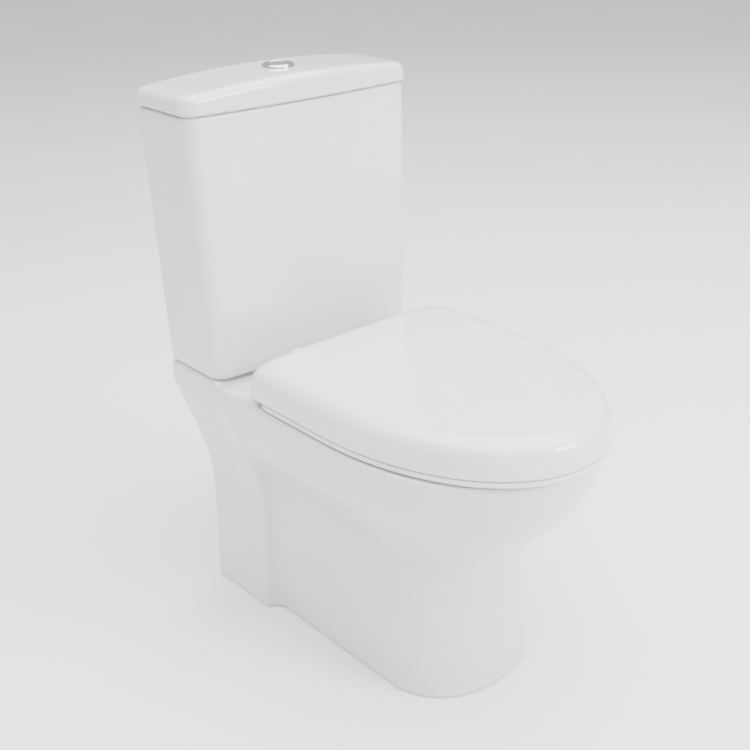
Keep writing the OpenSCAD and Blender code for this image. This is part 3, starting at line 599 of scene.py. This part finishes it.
def plan_field(x, y, half, depth, bow, corner):
    """Square at the wall, bowed front, round front corners."""
    front = depth + bow * (1 - (np.abs(x) / half) ** 2)
    qx = np.abs(x) - (half - corner)
    qy = -y - (front - corner)
    outside = np.hypot(np.maximum(qx, 0), np.maximum(qy, 0))
    return outside + np.minimum(np.maximum(qx, qy), 0) - corner


def cistern_field(x, y, z):
    """Open-topped tank that widens upwards."""
    up = (z - DECK_Z) / (TANK_TOP_Z - DECK_Z)
    outer = plan_field(x, y, 178 + 9 * up, 120, BOW, 20)
    inner = plan_field(x, y, 168 + 9 * up, 111, BOW - 1, 11)
    outer = smooth_max(outer, y, 6)
    outer = smooth_max(outer, slab(z, DECK_Z, TANK_TOP_Z), 4)
    inner = smooth_max(smooth_max(inner, y + 9, 8), DECK_Z + 10 - z, 14)
    f = cut(outer, inner, 5)
    ax = np.abs(x)
    inlet = upright(x, y, 0, INLET_Y, 33)
    bolts = upright(ax, y, COUPLING_X, INLET_Y, 5.5)
    fill = upright(x, y, FILL_X, INLET_Y, 11.5)
    for hole in (inlet, bolts, fill):
        f = cut(f, np.maximum(hole, z - DECK_Z - 20), 2)
    return cut(f, np.maximum(np.hypot(ax - WALL_HOLE[0], z - WALL_HOLE[1]) - 4, -30 - y), 1.5)


def lid_arch(x):
    return LID_CROWN_Z - LID_ARCH * (x / LID_HALF_W) ** 2


def lid_field(x, y, z):
    """Lid with an arched top, a ledge over the tank's rim and a lip inside it."""
    plan = smooth_max(plan_field(x, y, LID_HALF_W, 122, BOW, 21), y, 8)
    top = smooth_max(plan, z - lid_arch(x), 15)
    top = smooth_max(top, LID_Z - z, 3.5)
    ledge = np.maximum(np.maximum(plan + 4.5, y + 4.5), slab(z, TANK_TOP_Z + 0.4, LID_Z + 6))
    lip = smooth_max(np.maximum(plan_field(x, y, 175.6, 109.4, BOW - 1, 11), y + 12.6),
                     slab(z, TANK_TOP_Z - 9, LID_Z + 6), 3)
    f = np.minimum(np.minimum(top, ledge), lip)
    hollow = smooth_max(np.maximum(plan_field(x, y, 171, 105, BOW - 1, 8), y + 17), z - lid_arch(x) + 12, 8)
    f = cut(f, hollow, 3)
    return cut(f, upright(x, y, 0, INLET_Y, 20.5), 2)


# ---- Seat ----


def seat_plan(x, y, inset, rear_y, corner):
    """D of the seat with rounded rear corners."""
    side = super_round(x, SEAT_MID_Y - y, SEAT_HALF_W - inset, SEAT_MID_Y - SEAT_FRONT_Y - inset, 2.06)
    return smooth_max(side, y - rear_y + inset, corner)


def seat_hole(x, y, grow=0.0):
    return np.maximum(super_round(x, -430 - y, 112 + grow, 136 + grow, 2.1),
                      super_round(x, y + 377, 112 + grow, 85 + grow, 2.1))


def cover_skin(x, y, z, t):
    """Rounded shape of the cover, inset by t."""
    crown = COVER_TOP_Z - 0.3 - 3.6 * ((x / SEAT_HALF_W) ** 2 + ((y + 410) / 240) ** 2) - t
    plan = seat_plan(x, y, t, COVER_REAR_Y, 40)
    return smooth_max(plan, z - crown, 34)


def cover_field(x, y, z):
    """Thin cover with its hinge lugs and the bosses of its buffers."""
    f = smooth_max(cover_skin(x, y, z, 0.0), COVER_Z - z, 3)
    f = cut(f, np.maximum(cover_skin(x, y, z, 4.5), COVER_Z - 20 - z), 2)
    ax = np.abs(x)
    f = cut(f, block(ax, y, z, (HINGE_X - 26, -207, 380), (HINGE_X + 26, -160, 424), 4), 2)
    lug = np.maximum(np.hypot(y - HINGE_Y, z - HINGE_Z) - LUG_R, slab(ax, HINGE_X + 8.5, HINGE_X + 22.5))
    web = block(ax, y, z, (HINGE_X + 8.5, HINGE_Y - LUG_R, HINGE_Z),
                (HINGE_X + 22.5, HINGE_Y + LUG_R, COVER_TOP_Z - 9), 3)
    f = smooth_min(f, np.minimum(lug, web), 5)
    for at_x, at_y in COVER_BUFFERS:
        boss = np.maximum(upright(ax, y, at_x, at_y, 9), slab(z, 436, COVER_TOP_Z - 4))
        f = smooth_min(f, boss, 5)
    return cut(f, np.maximum(np.hypot(y - HINGE_Y, z - HINGE_Z) - PIN_HOLE_R, slab(ax, 80, 120)), 1)


def ring_field(x, y, z):
    """Hollow seat ring with its ribs and hinge lugs."""
    low = smooth_max(seat_plan(x, y, 0.3, RING_REAR_Y, 20), slab(z, RING_Z, COVER_Z - 0.9), 4)
    dish = 5 * np.exp(-(np.maximum(seat_hole(x, y), 0) / 26) ** 2)
    high = np.maximum(z - RING_TOP_Z + dish, COVER_Z - 4 - z)
    high = smooth_max(seat_plan(x, y, 9, RING_REAR_Y, 20), high, 20)
    f = np.minimum(low, high)
    f = smooth_max(f, -seat_hole(x, y), 12)
    hollow = np.maximum(seat_plan(x, y, 17, RING_REAR_Y, 16), -seat_hole(x, y, 6.0))
    hollow = np.maximum(hollow, z - RING_TOP_Z + 8)
    for rib_y in RING_RIBS_Y:
        hollow = np.maximum(hollow, 9 - np.abs(y - rib_y))
    f = cut(f, hollow, 4)
    ax = np.abs(x)
    lug = np.maximum(np.hypot(y - HINGE_Y, z - HINGE_Z) - LUG_R, slab(ax, HINGE_X - 22.5, HINGE_X - 8.5))
    arm = block(ax, y, z, (HINGE_X - 22.5, -226, HINGE_Z - LUG_R),
                (HINGE_X - 8.5, HINGE_Y, HINGE_Z + LUG_R), 2)
    f = smooth_min(f, np.minimum(lug, arm), 4)
    return cut(f, np.maximum(np.hypot(y - HINGE_Y, z - HINGE_Z) - PIN_HOLE_R, slab(ax, 40, 75)), 1)


# ---- Flush button ----

BUTTON_R, BUTTON_TOP_Z = 17.3, 810.8
ROD_X = 11.0


def bezel_field(x, y, z):
    r = np.hypot(x, y - INLET_Y)
    dome = np.hypot(r - 18.4, (z - LID_CROWN_Z + 0.6) * 0.92) - 4.7
    f = np.maximum(dome, LID_CROWN_Z - 0.1 - z)
    barrel = np.maximum(r - 19.6, slab(z, 772, LID_CROWN_Z + 2))
    f = smooth_min(f, barrel, 1)
    f = cut(f, np.maximum(r - BUTTON_R - 0.3, 775 - z), 1)
    ax = np.abs(x)
    return cut(f, np.hypot(ax - ROD_X, y - INLET_Y) - 3.3, 0.6)


def button_field(side):
    def field(x, y, z):
        sx = x * side
        r = np.hypot(x, y - INLET_Y)
        top = z - (BUTTON_TOP_Z - (r / BUTTON_R) ** 2 * 0.9)
        cap = smooth_max(smooth_max(r - BUTTON_R, top, 2.6), 803 - z, 1)
        boss = np.maximum(np.hypot(sx - ROD_X, y - INLET_Y) - 5.2, slab(z, 796, 804))
        f = smooth_max(smooth_min(cap, boss, 1), 0.35 - sx, 1.3)
        return cut(f, np.maximum(np.hypot(sx - ROD_X, y - INLET_Y) - 3, z - 803), 0.5)
    return field


# ---- Build the pieces ----


def place(obj, body, slot, *nodes):
    """Puts a finished skin on its body, in place of the CAD nodes it stands for."""
    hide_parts(*nodes)
    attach(obj, body)
    return obj


def build():
    place(from_field("pan_china", pan_field, (-192, -640, -8), (192, 8, 406), 4.0, CHINA),
          "pan_and_cistern", "vitreous_china", "pan")
    place(from_field("cistern_china", cistern_field, (-194, -136, 390), (194, 6, 776), 3.0, CHINA,
                     mirror=False), "pan_and_cistern", "vitreous_china", "cistern")
    place(from_field("lid_china", lid_field, (-196, -138, 754), (196, 6, 812), 2.4, CHINA),
          "cistern_lid", "vitreous_china", "cistern_lid")
    place(from_field("seat_cover_shell", cover_field, (-188, -650, 400), (188, -176, 460), 2.2, SEAT),
          "seat_cover", "seat_plastic", "seat_cover")
    place(from_field("seat_ring_moulding", ring_field, (-188, -650, 390), (188, -182, 432), 2.4, SEAT),
          "seat_ring", "seat_plastic", "seat_ring")
    low, high = (-25, INLET_Y - 25, 768), (25, INLET_Y + 25, 814)
    place(from_field("button_bezel", bezel_field, low, high, 0.7, CHROME),
          "cistern_lid", "chrome", "button_housing")
    for side, name in ((1, "full"), (-1, "half")):
        place(from_field(f"{name}_button_cap", button_field(side), low, high, 0.6, CHROME, mirror=False),
              f"{name}_button", "chrome", f"{name}_flush_button")


build()

FINISH = {
    "vitreous_china": CHINA, "seat_plastic": SEAT, "white_plastic": WHITE, "grey_plastic": GREY,
    "blue_plastic": BLUE, "chrome": CHROME, "steel": ZINC, "black_rubber": RUBBER, "buffer_rubber": BUFFER,
}
for part in frame["record"]["subparts"]:
    obj = frame["nodes"][part["node"]]
    for piece in obj if isinstance(obj, (list, tuple)) else [obj]:
        piece.data.materials.clear()
        piece.data.materials.append(FINISH[part["material_slot"]])

# ---- Floor, light and camera ----


def floor():
    mesh = bpy.data.meshes.new("floor")
    half = 9.0
    corners = [(-half, -half, 0), (half, -half, 0), (half, half, 0), (-half, half, 0)]
    mesh.from_pydata(corners, [], [(0, 1, 2, 3)])
    mat, tree, bsdf = shader("pale_floor", (0.93, 0.93, 0.93), 0.8)
    paint = tint(tree, noise(tree, 3, 3), (0.92, 0.92, 0.92), (0.94, 0.94, 0.94))
    tree.links.new(paint, bsdf.inputs["Base Color"])
    mesh.materials.append(mat)
    obj = bpy.data.objects.new("floor", mesh)
    bpy.context.scene.collection.objects.link(obj)


def area_light(name, location, target, size, power):
    light = bpy.data.lights.new(name, "AREA")
    light.shape = "RECTANGLE"
    light.size, light.size_y = size
    light.energy = power
    obj = bpy.data.objects.new(name, light)
    obj.location = location
    to = np.array(target) - np.array(location)
    obj.rotation_euler = (math.acos(-to[2] / np.linalg.norm(to)), 0, math.atan2(to[1], to[0]) - math.pi / 2)
    bpy.context.scene.collection.objects.link(obj)


def world(strength):
    bg = bpy.data.worlds.new("studio")
    bg.use_nodes = True
    node = bg.node_tree.nodes["Background"]
    node.inputs["Color"].default_value = (1, 1, 1, 1)
    node.inputs["Strength"].default_value = strength
    bpy.context.scene.world = bg


def camera():
    data = bpy.data.cameras.new("camera")
    data.sensor_width = 36
    data.lens = 55.83
    data.shift_x = -0.1307
    data.shift_y = -0.03
    obj = bpy.data.objects.new("camera", data)
    obj.location = (-0.9542, -1.4202 + WALL_Y, 1.0951)
    obj.rotation_euler = (math.radians(66.132), 0, math.radians(-44.495))
    bpy.context.scene.collection.objects.link(obj)
    bpy.context.scene.camera = obj


floor()
world(0.85)
area_light("top", (0, -0.5, 3.4), (0, -0.5, 0), (4.5, 4.5), 420)
area_light("key", (1.0, -2.8, 1.9), (0, 0.1, 0.5), (1.3, 0.9), 110)
camera()
